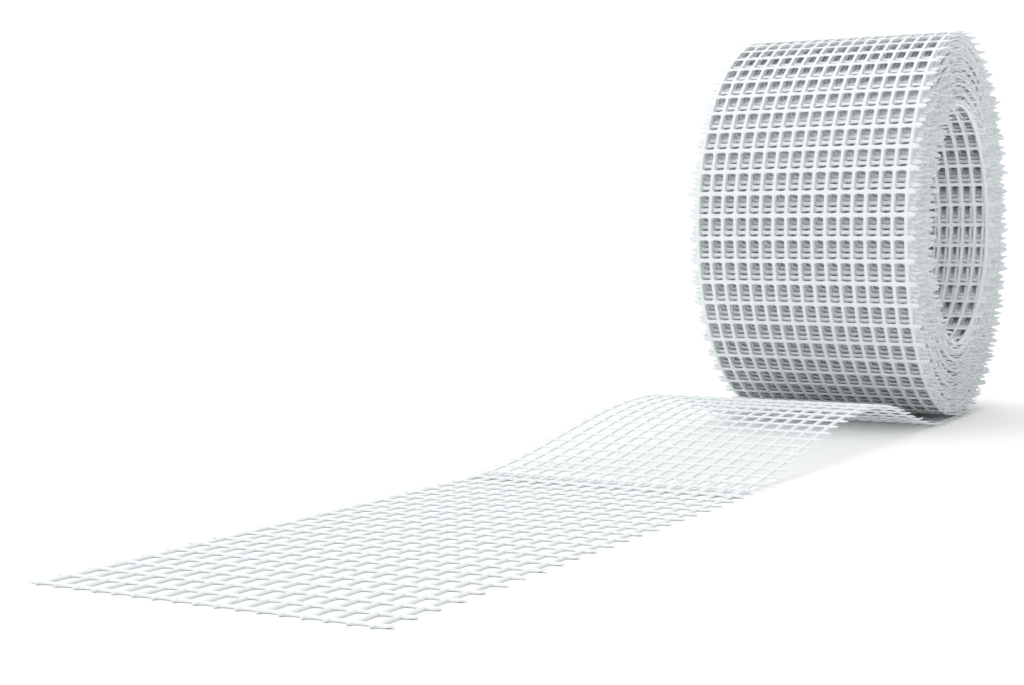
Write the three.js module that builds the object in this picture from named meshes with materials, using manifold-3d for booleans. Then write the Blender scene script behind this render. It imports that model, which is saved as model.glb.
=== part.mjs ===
// A roll of fiberglass mesh tape lying on its rim, with its free end pulled out along the floor.
// Millimetres, +Z up. X runs along the roll's axis, and the free end points to -Y.
// The origin is on the floor, right under the roll's axis, at the middle of the tape's width.
// The tape is one piece, so the roll and its free end are one solid. The free end is cut as a
// plain grid, coarser than the real mesh and as open, and the wound turns are not cut.
import * as THREE from "three";
import { mergeVertices } from "three/addons/utils/BufferGeometryUtils.js";
import Module from "manifold-3d";

// The tape: width over the cut ends of the crosswise strands, and thickness where strands cross
const tapeWidth = 50;
const tapeThickness = 0.8;

// The wound roll, and the groove between one turn and the next on its ends
const rollDiameter = 90;
const boreDiameter = 54.8;
const grooveDepth = 0.45;

// The free end, in plan from the roll's axis: it touches the floor, humps up and lies flat again
const freeEndReach = 251.2;
const humpHeight = 8.4;
const humpCrestReach = 72;
const humpNearRun = 57.5;
const humpFarRun = 80;

// The plain grid in the free end: bars with openings between them, from a little past the hump's
// foot at the roll to the cut end
const gridSetback = 5.5;
const barWidth = 2;
const openingsAcross = 6;
const openingsAlong = 28;

// How far the tape's underside runs on past the roll's axis before the roll's first facet takes over
const tuckUnder = 2.8;

// Fineness of the round surfaces
const facetsAround = 40;

const rollRadius = rollDiameter / 2;
const boreRadius = boreDiameter / 2;
const turnCount = Math.round((rollRadius - boreRadius) / tapeThickness);
const turnPitch = (rollRadius - boreRadius) / turnCount;
const humpFootReach = humpCrestReach - humpNearRun;
const gridStartReach = humpFootReach + gridSetback;
const pitchAcross = (tapeWidth - barWidth) / openingsAcross;
const pitchAlong = (freeEndReach - barWidth / 2 - gridStartReach) / openingsAlong;

const meshColour = 0xe9eeee;

// Profile of one end from the bore outwards: one ridge for each turn, a groove between two turns,
// and a flat edge on the innermost and the outermost turn
function endProfile(side) {
  const face = side * tapeWidth / 2;
  const floorOfGroove = side * (tapeWidth / 2 - grooveDepth);
  const points = [new THREE.Vector2(boreRadius, face)];
  for (let turn = 1; turn < turnCount; turn += 1) {
    const between = boreRadius + turn * turnPitch;
    const beforeGroove = turn === 1 ? between - turnPitch / 4 : between - turnPitch / 2;
    points.push(new THREE.Vector2(beforeGroove, face));
    points.push(new THREE.Vector2(between, floorOfGroove));
  }
  points.push(new THREE.Vector2(rollRadius - turnPitch * 3 / 4, face));
  points.push(new THREE.Vector2(rollRadius, face));
  return points;
}

// The wound turns as one turned ring about the X axis, with a facet at the bottom
function woundRoll() {
  const nearEnd = endProfile(1);
  const farEnd = endProfile(-1);
  const profile = [...farEnd, ...nearEnd.reverse(), farEnd[0].clone()];
  const ring = new THREE.LatheGeometry(profile, facetsAround, Math.PI / facetsAround);
  ring.rotateZ(-Math.PI / 2);
  ring.translate(0, 0, rollRadius);
  return ring;
}

// Height of the tape's underside over the floor at a distance from the roll's axis
function humpAt(reach) {
  const fromCrest = reach - humpCrestReach;
  const run = fromCrest < 0 ? humpNearRun : humpFarRun;
  if (Math.abs(fromCrest) >= run) return 0;
  return humpHeight / 2 * (1 + Math.cos(Math.PI * fromCrest / run));
}

// The free end as one extruded strip: flat, over the hump, flat again. It bends at the middle of
// each crosswise bar, so each opening lies in one flat stretch.
function freeEnd() {
  const reaches = [-tuckUnder, humpFootReach];
  for (let bar = 0; bar < openingsAlong; bar += 1) {
    reaches.push(gridStartReach + bar * pitchAlong);
  }
  reaches.push(freeEndReach);
  const underside = reaches.map((reach) => new THREE.Vector2(-reach, humpAt(reach)));
  const top = reaches.map((reach) => new THREE.Vector2(-reach, humpAt(reach) + tapeThickness));
  const outline = new THREE.Shape([...underside, ...top.reverse()]);
  const strip = new THREE.ExtrudeGeometry(outline, { depth: tapeWidth, bevelEnabled: false });
  // The outline's first axis becomes Y and its second becomes Z, and the depth runs along X
  strip.rotateX(Math.PI / 2);
  strip.rotateZ(Math.PI / 2);
  strip.translate(-tapeWidth / 2, 0, 0);
  return strip;
}

// One upright block for each opening of the grid
function gridBlocks() {
  const blocks = [];
  const height = humpHeight + 4 * tapeThickness;
  for (let row = 0; row < openingsAlong; row += 1) {
    const y = -(gridStartReach + (row + 0.5) * pitchAlong);
    for (let column = 0; column < openingsAcross; column += 1) {
      const x = (column + 0.5 - openingsAcross / 2) * pitchAcross;
      const block = new THREE.BoxGeometry(pitchAcross - barWidth, pitchAlong - barWidth, height);
      block.translate(x, y, humpHeight / 2);
      blocks.push(block);
    }
  }
  return blocks;
}

const wasm = await Module();
wasm.setup();

// A closed geometry as a solid, with the vertices that its faces share merged into one
function toSolid(geometry) {
  const bare = geometry.clone();
  bare.deleteAttribute("normal");
  bare.deleteAttribute("uv");
  const merged = mergeVertices(bare, 1e-4);
  const mesh = new wasm.Mesh({
    numProp: 3,
    vertProperties: new Float32Array(merged.attributes.position.array),
    triVerts: new Uint32Array(merged.index.array),
  });
  mesh.merge();
  return new wasm.Manifold(mesh);
}

function toGeometry(solid) {
  const mesh = solid.getMesh();
  const geometry = new THREE.BufferGeometry();
  geometry.setAttribute("position", new THREE.BufferAttribute(mesh.vertProperties, 3));
  geometry.setIndex(new THREE.BufferAttribute(mesh.triVerts, 1));
  geometry.computeVertexNormals();
  return geometry;
}

const openings = wasm.Manifold.compose(gridBlocks().map(toSolid));
const tape = new THREE.Mesh(
  toGeometry(toSolid(woundRoll()).add(toSolid(freeEnd()).subtract(openings))),
  new THREE.MeshStandardMaterial({ color: meshColour, roughness: 0.55, metalness: 0 }),
);
tape.name = "mesh_tape_roll";

const model = new THREE.Group();
model.add(tape);

export default model;
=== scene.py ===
import math

import bpy
import numpy as np
from mathutils import Matrix, Vector


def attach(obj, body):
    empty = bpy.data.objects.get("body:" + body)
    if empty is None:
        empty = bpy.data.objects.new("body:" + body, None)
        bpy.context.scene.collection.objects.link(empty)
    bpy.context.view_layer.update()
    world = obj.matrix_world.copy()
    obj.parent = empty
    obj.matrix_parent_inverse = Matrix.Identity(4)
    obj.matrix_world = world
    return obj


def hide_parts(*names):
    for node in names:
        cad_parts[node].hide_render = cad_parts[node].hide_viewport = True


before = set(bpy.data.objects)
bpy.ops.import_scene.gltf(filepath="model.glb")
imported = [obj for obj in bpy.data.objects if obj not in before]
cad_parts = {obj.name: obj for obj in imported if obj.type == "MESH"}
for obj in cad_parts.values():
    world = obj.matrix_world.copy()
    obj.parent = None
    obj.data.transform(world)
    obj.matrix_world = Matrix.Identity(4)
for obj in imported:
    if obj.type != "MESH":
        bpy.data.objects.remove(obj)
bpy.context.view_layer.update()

# The tape: one strip of open mesh, lengthwise strands crossed by short crosswise strands
LENGTHWISE_COUNT = 17
LENGTHWISE_PITCH = 0.002945
CROSSWISE_PITCH = 0.004974
# How far the lengthwise strands run on past the first and the last crosswise strand
END_STUB = 0.00144
# A crosswise strand's length over its two cut stubs, before each stub gets a length of its own
CROSSWISE_LENGTH = 0.0516

# Lengthwise strands: an even bar, a little wider where it meets a crosswise strand
LENGTHWISE_WIDTH = 0.00080
LENGTHWISE_FLARE = 0.00016
LENGTHWISE_DEPTH = 0.00038
# The outermost strand on either side fills the space between two wound turns
EDGE_DEPTH = 0.00080

# Crosswise strands: wide at each crossing and waisted halfway between two crossings
CROSSWISE_WIDTH = 0.00148
CROSSWISE_WAIST = 0.00088
CROSSWISE_DEPTH = 0.00034
# Distance from a lengthwise strand at which a rounded cell's corner ends, and the width there
CORNER_REACH = 0.00045
CORNER_WIDTH = CROSSWISE_WAIST * 1.14
# How far a crosswise strand runs into each lengthwise one, so that they join
JOIN = 0.00004

# Cut ends: width of a lengthwise strand's tip, and how its last stretch narrows and thins
BAR_TIP_WIDTH = 0.00024
BAR_TIP_REACH = 0.0006
BAR_TAPER = 0.7
# Crosswise stubs: share of the stub's length and of the strand's width at each station. The free
# end, the first two turns and the turns at the bore have broad stubs, and the others slim ones.
BROAD_STUB = ((0.0, 1.0), (0.5, 0.84), (0.82, 0.52), (1.0, 0.2))
SLIM_STUB = ((0.0, 1.0), (0.5, 0.62), (0.82, 0.36), (1.0, 0.2))
# Spread of the stubs' extra length, and of their lean along the tape and out of it
BROAD_STUB_SPREAD = 0.00020
SLIM_STUB_SPREAD = 0.00030
BROAD_STUB_LEAN = (0.00010, 0.00020)
SLIM_STUB_LEAN = (0.00014, 0.00030)
# Lowest point that a leaning stub may reach over the floor
FLOOR_CLEARANCE = 0.00002

# Share of a strand's half depth that stays below its widest line where the tape lies on the floor
LAID_UNDERSIDE = 0.2

# The roll: radius to the middle of the lengthwise strands at the foot, pitch from one turn to the next, bore
CENTRE_RADIUS = 0.04506
AXIS_Y = -0.00054
TURN_PITCH = 0.00079
BORE_RADIUS = 0.0274
# How unevenly the inner turns are wound edge on edge, and over which angles that sets in
SWAY = 0.00045
FINE_SWAY = 0.00025
SWAY_START = 8
SWAY_RUN = 14

# Spacing of the crosswise strands in the turns behind the first one, as the tape is wound with
# an uneven pull, and the rows from which each spacing holds
SECOND_TURN_PITCH = 0.005021
THIRD_TURN_PITCH = 0.005014
INNER_PITCH = 0.005020
BORE_PITCH = 0.0051136
ROWS_TO_THIRD_TURN = 43
ROWS_TO_INNER_TURNS = 97

# The free end: a hump between the roll and the stretch that lies flat
FREE_END_REACH = 0.2512
HUMP_HEIGHT = 0.0084
HUMP_CREST = 0.072
HUMP_NEAR_RUN = 0.0575
HUMP_FAR_RUN = 0.080

# Angle on the winding of one crosswise strand that the photograph shows near the roll's front
KNOWN_ROW_ANGLE = 4.2272
KNOWN_ROW = 88
# Rows between the floor and the roll's back, where the row spacing may differ a little
LAST_FLOOR_ROW = 48
FIRST_ROLL_ROW = 62
# Row at the foot of the roll's front, from where the first turn hides the rest
FIRST_HIDDEN_ROW = 104
# Row from where the winding is seen from the bore rather than from outside
FIRST_BORE_ROW = 873

# Height of the tape's middle where it lies on the floor, with a hair's breadth under its strands
MIDDLE_HEIGHT = LENGTHWISE_DEPTH / 2 + 0.00003
AXIS_HEIGHT = CENTRE_RADIUS + MIDDLE_HEIGHT
# More rows than the tape can hold, of which those on the tape are kept
ROW_LIMIT = 2000
TRIANGLE_LIMIT = 195000

# Strength of the walls, the backdrop and the lamp, and the share of light left in the dim patch
WALLS = 1.05
BACKDROP = 1.14
DIM_SIDE = 0.25
LAMP = 0.82
rng = np.random.default_rng(7)


# The strip's path

def hump_height(reach):
    """Height of the free end's underside at a distance from the roll's axis."""
    from_crest = reach - HUMP_CREST
    run = np.where(from_crest < 0, HUMP_NEAR_RUN, HUMP_FAR_RUN)
    inside = np.abs(from_crest) < run
    return np.where(inside, HUMP_HEIGHT / 2 * (1 + np.cos(math.pi * from_crest / run)), 0.0)


def floor_path():
    """Points of the free end from its cut edge to the foot of the roll, with their arc length."""
    reach = np.linspace(FREE_END_REACH, -AXIS_Y, 2001)
    y = -reach
    z = hump_height(reach) + MIDDLE_HEIGHT
    arc = np.concatenate([[0], np.cumsum(np.hypot(np.diff(y), np.diff(z)))])
    return y, z, arc


FLOOR_Y, FLOOR_Z, FLOOR_ARC = floor_path()
FLOOR_LENGTH = FLOOR_ARC[-1]


def wound_arc(angle):
    """Length of tape wound from the foot of the roll to an angle on the winding."""
    return CENTRE_RADIUS * angle - TURN_PITCH * angle ** 2 / (4 * math.pi)


def wound_angle(arc):
    """Angle on the winding at a length of tape from the foot of the roll."""
    a = TURN_PITCH / (4 * math.pi)
    return (CENTRE_RADIUS - np.sqrt(CENTRE_RADIUS ** 2 - 4 * a * arc)) / (2 * a)


LAST_ANGLE = (CENTRE_RADIUS - BORE_RADIUS - MIDDLE_HEIGHT) * 2 * math.pi / TURN_PITCH
TAPE_LENGTH = FLOOR_LENGTH + wound_arc(LAST_ANGLE)


def place(arc):
    """Position (y, z) and outward direction of the tape's mid-plane at arc lengths from its free end."""
    arc = np.asarray(arc, float)
    on_floor = arc < FLOOR_LENGTH
    angle = wound_angle(np.maximum(arc - FLOOR_LENGTH, 0))
    radius = CENTRE_RADIUS - TURN_PITCH * angle / (2 * math.pi)
    wound = np.stack([AXIS_Y + radius * np.sin(angle), AXIS_HEIGHT - radius * np.cos(angle)], -1)
    wound_out = np.stack([np.sin(angle), -np.cos(angle)], -1)
    y = np.interp(arc, FLOOR_ARC, FLOOR_Y)
    z = np.interp(arc, FLOOR_ARC, FLOOR_Z)
    step = 1e-4
    dy = np.interp(arc + step, FLOOR_ARC, FLOOR_Y) - np.interp(arc - step, FLOOR_ARC, FLOOR_Y)
    dz = np.interp(arc + step, FLOOR_ARC, FLOOR_Z) - np.interp(arc - step, FLOOR_ARC, FLOOR_Z)
    length = np.maximum(np.hypot(dy, dz), 1e-9)
    floor_out = np.stack([dz / length, -dy / length], -1)
    pick = on_floor[..., None]
    return np.where(pick, np.stack([y, z], -1), wound), np.where(pick, floor_out, wound_out)


def sway(arc):
    """Sideways shift of the tape, as the inner turns aren't wound quite edge on edge."""
    angle = wound_angle(np.maximum(np.asarray(arc, float) - FLOOR_LENGTH, 0))
    share = np.clip((angle - SWAY_START) / SWAY_RUN, 0, 1)
    return share * (SWAY * np.sin(1.37 * angle + 0.4) + FINE_SWAY * np.sin(2.61 * angle))


def row_arcs():
    """Arc length of each crosswise strand from the free end."""
    known = FLOOR_LENGTH + wound_arc(KNOWN_ROW_ANGLE)
    rows = np.arange(ROW_LIMIT)
    from_end = END_STUB + rows * CROSSWISE_PITCH
    pitch = np.full(len(rows), CROSSWISE_PITCH)
    pitch[FIRST_HIDDEN_ROW:] = SECOND_TURN_PITCH
    pitch[FIRST_HIDDEN_ROW + ROWS_TO_THIRD_TURN:] = THIRD_TURN_PITCH
    pitch[FIRST_HIDDEN_ROW + ROWS_TO_INNER_TURNS:] = INNER_PITCH
    pitch[FIRST_BORE_ROW:] = BORE_PITCH
    from_start = np.concatenate([[0], np.cumsum(pitch[:-1])])
    from_known = known + from_start - from_start[KNOWN_ROW]
    share = np.clip((rows - LAST_FLOOR_ROW) / (FIRST_ROLL_ROW - LAST_FLOOR_ROW), 0, 1)
    arcs = from_end * (1 - share) + from_known * share
    return arcs[arcs < TAPE_LENGTH - END_STUB]


ROWS = row_arcs()
COLUMNS = (np.arange(LENGTHWISE_COUNT) - (LENGTHWISE_COUNT - 1) / 2) * LENGTHWISE_PITCH


# Strands as closed tubes

def section(sides, underside=1.0):
    """Unit section of a strand: a flattened round, as (across, out) pairs, its outward half squashed."""
    turn = (np.arange(sides) + 0.5) * 2 * math.pi / sides
    across, out = np.cos(turn), np.sin(turn)
    power = 0.86
    across = np.sign(across) * np.abs(across) ** power
    out = np.sign(out) * np.abs(out) ** power
    out = np.where(out > 0, 1 - underside + out * underside, 1 - underside + out * (2 - underside))
    return np.stack([across, out], -1)


class Builder:
    """Collects tubes as arrays of points and faces for one mesh."""

    def __init__(self):
        self.points = []
        self.quads = []
        self.kinds = []
        self.total = 0

    def tubes(self, rings, kind):
        """rings has the shape (tubes, stations, sides, 3)."""
        count, stations, sides, _ = rings.shape
        self.points.append(rings.reshape(-1, 3))
        index = self.total + np.arange(count * stations * sides).reshape(count, stations, sides)
        here, ahead = index[:, :-1], index[:, 1:]
        quads = np.stack([here, np.roll(here, -1, 2), np.roll(ahead, -1, 2), ahead], -1).reshape(-1, 4)
        self.quads.append(quads)
        self.kinds.append(np.full(len(quads), kind))
        for cap in (index[:, 0, ::-1], index[:, -1]):
            half = sides // 2
            for corner in range(half - 1):
                across = [cap[:, -corner - 2], cap[:, -corner - 1]]
                four = np.stack([cap[:, corner], cap[:, corner + 1], *across], -1)
                self.quads.append(four)
                self.kinds.append(np.full(count, kind))
        self.total += count * stations * sides

    def mesh(self, name, materials):
        points = np.concatenate(self.points)
        quads = np.concatenate(self.quads)
        kinds = np.concatenate(self.kinds)
        mesh = bpy.data.meshes.new(name)
        mesh.vertices.add(len(points))
        mesh.vertices.foreach_set("co", points.astype(np.float32).ravel())
        mesh.loops.add(quads.size)
        mesh.loops.foreach_set("vertex_index", quads.astype(np.int32).ravel())
        mesh.polygons.add(len(quads))
        mesh.polygons.foreach_set("loop_start", np.arange(0, quads.size, 4, dtype=np.int32))
        for material in materials:
            mesh.materials.append(material)
        mesh.polygons.foreach_set("material_index", kinds.astype(np.int32))
        mesh.polygons.foreach_set("use_smooth", np.ones(len(quads), bool))
        mesh.update(calc_edges=True)
        mesh.validate()
        piece = bpy.data.objects.new(name, mesh)
        bpy.context.scene.collection.objects.link(piece)
        return piece


def crosswise(builder, arcs, sides, detail, underside=1.0):
    """Crosswise strands at arc lengths. Detail 3 rounds each cell, 2 waists it, 1 only the outermost cells."""
    half_bar = LENGTHWISE_WIDTH / 2 - JOIN
    edge = COLUMNS[-1]
    broad = detail == 3
    stub = [(part, CROSSWISE_WIDTH * share) for part, share in (BROAD_STUB if broad else SLIM_STUB)]
    length = CROSSWISE_LENGTH / 2 - edge - half_bar
    stations = [(-edge - half_bar - part * length, width) for part, width in stub[::-1]]
    for left, right in zip(COLUMNS[:-1], COLUMNS[1:]):
        inner = detail == 1 and left > COLUMNS[0] and right < COLUMNS[-1]
        if inner:
            continue
        middle = (left + right) / 2
        stations.append((left + half_bar, CROSSWISE_WIDTH))
        if detail > 2:
            stations.append((left + half_bar + CORNER_REACH, CORNER_WIDTH))
        stations.append((middle, CROSSWISE_WAIST))
        if detail > 2:
            stations.append((right - half_bar - CORNER_REACH, CORNER_WIDTH))
        stations.append((right - half_bar, CROSSWISE_WIDTH))
    stations += [(edge + half_bar + part * length, width) for part, width in stub]
    x = np.array([s[0] for s in stations])
    width = np.array([s[1] for s in stations])
    depth = np.full(len(x), CROSSWISE_DEPTH)
    depth[width < CROSSWISE_WIDTH * 0.9] = CROSSWISE_DEPTH * 0.92
    depth[[0, -1]] = CROSSWISE_DEPTH * 0.2
    depth[[1, -2]] = CROSSWISE_DEPTH * 0.6

    # Each stub has a length and a lean of its own
    count = len(arcs)
    longer = rng.normal(0, BROAD_STUB_SPREAD if broad else SLIM_STUB_SPREAD, (count, 2))
    lean = rng.normal(0, 1, (count, 2, 2)) * (BROAD_STUB_LEAN if broad else SLIM_STUB_LEAN)
    bend = np.zeros((count, len(x), 3))
    bend[:, 0, 0] = -longer[:, 0]
    bend[:, 1, 0] = bend[:, 0, 0] * 0.6
    bend[:, -1, 0] = longer[:, 1]
    bend[:, -2, 0] = longer[:, 1] * 0.6
    bend[:, 0, 1:] = lean[:, 0]
    bend[:, 1, 1:] = lean[:, 0] * 0.5
    bend[:, -1, 1:] = lean[:, 1]
    bend[:, -2, 1:] = lean[:, 1] * 0.5
    bend[..., 0] += sway(arcs)[:, None]

    centre, out = place(arcs)
    along = np.stack([-out[:, 1], out[:, 0]], -1)
    shape = section(sides, underside)
    rings = np.zeros((count, len(x), sides, 3))
    rings[..., 0] = x[None, :, None] + bend[..., None, 0]
    a = shape[None, None, :, 0] * width[None, :, None] / 2 + bend[..., None, 1]
    o = shape[None, None, :, 1] * depth[None, :, None] / 2 + bend[..., None, 2]
    rings[..., 1] = centre[:, None, None, 0] + a * along[:, None, None, 0] + o * out[:, None, None, 0]
    rings[..., 2] = centre[:, None, None, 1] + a * along[:, None, None, 1] + o * out[:, None, None, 1]
    rings[..., 2] = np.maximum(rings[..., 2], FLOOR_CLEARANCE)
    builder.tubes(rings, 1)


def lengthwise(builder, first, last, columns, sides, per_row, thick=LENGTHWISE_DEPTH, underside=1.0):
    """Lengthwise strands from row first to row last, at the given places across the tape."""
    stations = []
    bar, flare = LENGTHWISE_WIDTH, LENGTHWISE_WIDTH + 2 * LENGTHWISE_FLARE
    if first == 0:
        stations.append((ROWS[0] - END_STUB, BAR_TIP_WIDTH, thick * 0.4))
        stations.append((ROWS[0] - END_STUB + BAR_TIP_REACH, bar * BAR_TAPER, thick * 0.9))
    for row in range(first, last):
        here, ahead = ROWS[row], ROWS[row + 1]
        stations.append((here, flare, thick))
        if per_row >= 3:
            stations.append((here + CROSSWISE_WIDTH * 0.6, bar, thick))
            stations.append((ahead - CROSSWISE_WIDTH * 0.6, bar, thick))
        elif per_row == 2:
            stations.append(((here + ahead) / 2, bar, thick))
    stations.append((ROWS[last], flare, thick))
    if last == len(ROWS) - 1:
        stations.append((ROWS[last] + END_STUB - BAR_TIP_REACH, bar * BAR_TAPER, thick * 0.9))
        stations.append((ROWS[last] + END_STUB, BAR_TIP_WIDTH, thick * 0.4))
    arcs, widths, depth = np.array(stations).T
    centre, out = place(arcs)
    shape = section(sides, underside)
    rings = np.zeros((len(columns), len(arcs), sides, 3))
    a = shape[None, :, 0] * widths[:, None] / 2
    o = shape[None, :, 1] * depth[:, None] / 2
    rings[..., 0] = np.asarray(columns)[:, None, None] + a[None] + sway(arcs)[None, :, None]
    rings[..., 1] = (centre[:, None, 0] + o * out[:, None, 0])[None]
    rings[..., 2] = (centre[:, None, 1] + o * out[:, None, 1])[None]
    builder.tubes(rings[:, :, ::-1], 0)


def strip_piece(name, first, last, detail):
    """One stretch of the tape, from row first up to row last."""
    builder = Builder()
    at_end = last == len(ROWS) - 1
    rows = ROWS[first:] if at_end else ROWS[first:last]
    if detail == 1:
        crosswise(builder, rows, 6, 1)
        lengthwise(builder, first, last, COLUMNS[[0, -1]], 6, 2, EDGE_DEPTH)
        lengthwise(builder, first, last, COLUMNS[1:-1], 4, 1)
    else:
        sides = 8 if detail == 3 else 6
        underside = LAID_UNDERSIDE if first == 0 else 1.0
        edge = EDGE_DEPTH if first > FIRST_TURN else LENGTHWISE_DEPTH
        crosswise(builder, rows, sides, detail, underside)
        lengthwise(builder, first, last, COLUMNS[1:-1], sides, detail, LENGTHWISE_DEPTH, underside)
        lengthwise(builder, first, last, COLUMNS[[0, -1]], sides, detail, edge, underside)
    inner = first >= INNER_TURNS
    # The turns at the bore take the paler coat, painted light in place of the light that reaches them through
    # the mesh
    coats = [inner_lengthwise_painted_light_coat, inner_crosswise_painted_light_coat] if inner else [lengthwise_coat, crosswise_coat]
    piece = builder.mesh(name, coats)
    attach(piece, "root")
    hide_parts("mesh_tape_roll")
    if len(piece.data.polygons) * 2 > TRIANGLE_LIMIT:
        raise RuntimeError("too many triangles in " + name)


# Materials

def strand_material(name, stretch, painted_light_lift=1.0):
    """White resin coat over glass fibre: fine streaks along the strand and a soft sheen. The last argument
    makes the whole colour paler, which is painted light.
    """
    material = bpy.data.materials.new(name)
    material.use_nodes = True
    nodes, links = material.node_tree.nodes, material.node_tree.links
    shader = nodes["Principled BSDF"]
    shader.inputs["Roughness"].default_value = 0.48
    shader.inputs["IOR"].default_value = 1.5
    coordinates = nodes.new("ShaderNodeTexCoord")
    mapping = nodes.new("ShaderNodeMapping")
    mapping.inputs["Scale"].default_value = stretch
    links.new(coordinates.outputs["Object"], mapping.inputs["Vector"])
    streaks = nodes.new("ShaderNodeTexNoise")
    streaks.inputs["Scale"].default_value = 1.0
    streaks.inputs["Detail"].default_value = 3.0
    links.new(mapping.outputs["Vector"], streaks.inputs["Vector"])
    # The streak colours are scaled by the last argument, a painted light brightening for the turns at the bore
    ramp = nodes.new("ShaderNodeValToRGB")
    ramp.color_ramp.elements[0].position = 0.30
    ramp.color_ramp.elements[0].color = (0.805 * painted_light_lift, 0.85 * painted_light_lift, 0.86 * painted_light_lift, 1)
    ramp.color_ramp.elements[1].position = 0.65
    ramp.color_ramp.elements[1].color = (0.865 * painted_light_lift, 0.905 * painted_light_lift, 0.915 * painted_light_lift, 1)
    links.new(streaks.outputs["Fac"], ramp.inputs["Fac"])
    links.new(ramp.outputs["Color"], shader.inputs["Base Color"])
    bump = nodes.new("ShaderNodeBump")
    bump.inputs["Strength"].default_value = 0.35
    bump.inputs["Distance"].default_value = 0.00005
    links.new(streaks.outputs["Fac"], bump.inputs["Height"])
    links.new(bump.outputs["Normal"], shader.inputs["Normal"])
    return material


# Floor, light and camera

def floor():
    material = bpy.data.materials.new("pale_floor")
    material.use_nodes = True
    shader = material.node_tree.nodes["Principled BSDF"]
    shader.inputs["Base Color"].default_value = (0.97, 0.97, 0.97, 1)
    shader.inputs["Roughness"].default_value = 0.9
    shader.inputs["Specular IOR Level"].default_value = 0.1
    size = 30.0
    mesh = bpy.data.meshes.new("floor")
    corners = [(-size, -size, 0), (size, -size, 0), (size, size, 0), (-size, size, 0)]
    mesh.from_pydata(corners, [], [(0, 1, 2, 3)])
    mesh.materials.append(material)
    plane = bpy.data.objects.new("floor", mesh)
    bpy.context.scene.collection.objects.link(plane)


def broad_lamp(name, direction, spread, strength):
    """Light from one broad patch of the ceiling, far off."""
    data = bpy.data.lights.new(name, "SUN")
    data.angle = spread
    data.energy = strength
    light = bpy.data.objects.new(name, data)
    light.rotation_euler = Vector(direction).to_track_quat("Z", "Y").to_euler()
    bpy.context.scene.collection.objects.link(light)


def lights():
    """A bright backdrop behind the roll, a dimmer patch high on its right and a broad lamp overhead."""
    world = bpy.data.worlds.new("studio")
    world.use_nodes = True
    nodes, links = world.node_tree.nodes, world.node_tree.links
    nodes["Background"].inputs["Color"].default_value = (1, 1, 1, 1)
    coordinates = nodes.new("ShaderNodeTexCoord")
    facing = nodes.new("ShaderNodeVectorMath")
    facing.operation = "DOT_PRODUCT"
    facing.inputs[1].default_value = (-0.475, 0.88, 0)
    links.new(coordinates.outputs["Generated"], facing.inputs[0])
    strength = nodes.new("ShaderNodeMapRange")
    strength.interpolation_type = "SMOOTHSTEP"
    strength.inputs["From Min"].default_value = 0.3
    strength.inputs["From Max"].default_value = 0.9
    strength.inputs["To Min"].default_value = WALLS
    strength.inputs["To Max"].default_value = BACKDROP
    links.new(facing.outputs["Value"], strength.inputs["Value"])
    sideways = nodes.new("ShaderNodeVectorMath")
    sideways.operation = "DOT_PRODUCT"
    sideways.inputs[1].default_value = (0.85, 0.0, 0.53)
    links.new(coordinates.outputs["Generated"], sideways.inputs[0])
    dimming = nodes.new("ShaderNodeMapRange")
    dimming.interpolation_type = "SMOOTHSTEP"
    dimming.inputs["From Min"].default_value = 0.6
    dimming.inputs["From Max"].default_value = 0.95
    dimming.inputs["To Min"].default_value = 1.0
    dimming.inputs["To Max"].default_value = DIM_SIDE
    links.new(sideways.outputs["Value"], dimming.inputs["Value"])
    product = nodes.new("ShaderNodeMath")
    product.operation = "MULTIPLY"
    links.new(strength.outputs["Result"], product.inputs[0])
    links.new(dimming.outputs["Result"], product.inputs[1])
    links.new(product.outputs["Value"], nodes["Background"].inputs["Strength"])
    bpy.context.scene.world = world
    broad_lamp("key", (-0.05, 0.05, 1.0), 0.7, LAMP)


# The camera stands where the photograph's perspective puts it
CAMERA_PLACE = (0.11939, -0.39741, 0.04008)
CAMERA_YAW = -0.495
CAMERA_PITCH = 0.05691
CAMERA_ROLL = 0.00177
FOCAL_PIXELS = 1681.506
IMAGE_WIDTH = 1024


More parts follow.
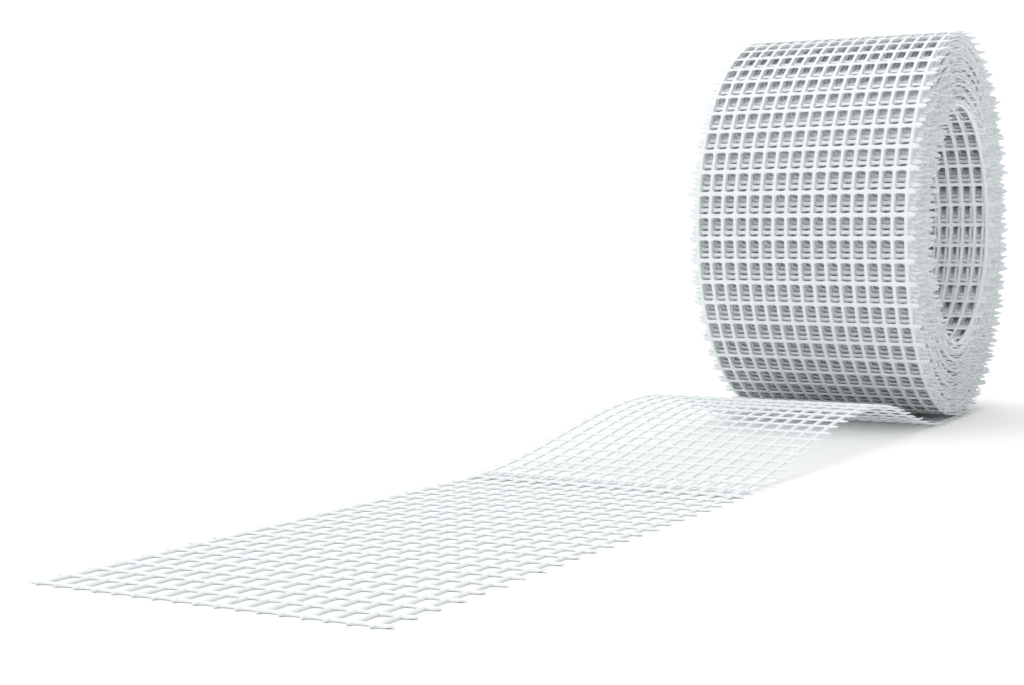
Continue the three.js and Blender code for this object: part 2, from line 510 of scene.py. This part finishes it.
def camera():
    data = bpy.data.cameras.new("camera")
    data.sensor_width = 36
    data.sensor_fit = "HORIZONTAL"
    data.lens = FOCAL_PIXELS * data.sensor_width / IMAGE_WIDTH
    data.clip_start = 0.01
    data.clip_end = 100
    eye = bpy.data.objects.new("camera", data)
    forward = Vector((math.sin(CAMERA_YAW) * math.cos(CAMERA_PITCH),
                      math.cos(CAMERA_YAW) * math.cos(CAMERA_PITCH),
                      -math.sin(CAMERA_PITCH)))
    right = Vector((math.cos(CAMERA_YAW), -math.sin(CAMERA_YAW), 0))
    up = right.cross(forward)
    turned_right = math.cos(CAMERA_ROLL) * right + math.sin(CAMERA_ROLL) * up
    turned_up = -math.sin(CAMERA_ROLL) * right + math.cos(CAMERA_ROLL) * up
    axes = Matrix((turned_right, turned_up, -forward)).transposed()
    eye.matrix_world = Matrix.Translation(CAMERA_PLACE) @ axes.to_4x4()
    bpy.context.scene.collection.objects.link(eye)
    bpy.context.scene.camera = eye


camera()
floor()
lights()
bpy.context.scene.view_settings.view_transform = "Standard"

lengthwise_coat = strand_material("lengthwise_coat", (9000, 250, 250))
crosswise_coat = strand_material("crosswise_coat", (250, 5000, 5000))
# The turns around the bore get a paler coat, which is painted light: it stands in for the light that reaches
# them through the mesh from both sides
inner_lengthwise_painted_light_coat = strand_material("inner_lengthwise_painted_light_coat", (9000, 250, 250), 1.07)
inner_crosswise_painted_light_coat = strand_material("inner_crosswise_painted_light_coat", (250, 5000, 5000), 1.07)

# Stretches of the tape, by their first crosswise strand: a full turn at the outside has 57 rows
LAST_ROW = len(ROWS) - 1
FIRST_TURN = 51
ROWS_A_TURN = 57
SECOND_TURN = FIRST_TURN + ROWS_A_TURN
THIRD_TURN = FIRST_TURN + ROWS_A_TURN * 2
FIFTH_TURN = FIRST_TURN + ROWS_A_TURN * 4
# Rows of the last two turns, which the bore shows
INNER_TURNS = len(ROWS) - 74
MIDWAY = (FIFTH_TURN + INNER_TURNS) // 2
strip_piece("tape_free_end", 0, FIRST_TURN, 3)
strip_piece("tape_first_turn", FIRST_TURN, SECOND_TURN, 3)
strip_piece("tape_second_turn", SECOND_TURN, THIRD_TURN, 3)
strip_piece("tape_outer_turns", THIRD_TURN, FIFTH_TURN, 2)
strip_piece("tape_middle_turns", FIFTH_TURN, MIDWAY, 1)
strip_piece("tape_deep_turns", MIDWAY, INNER_TURNS, 1)
strip_piece("tape_inner_turns", INNER_TURNS, LAST_ROW, 3)
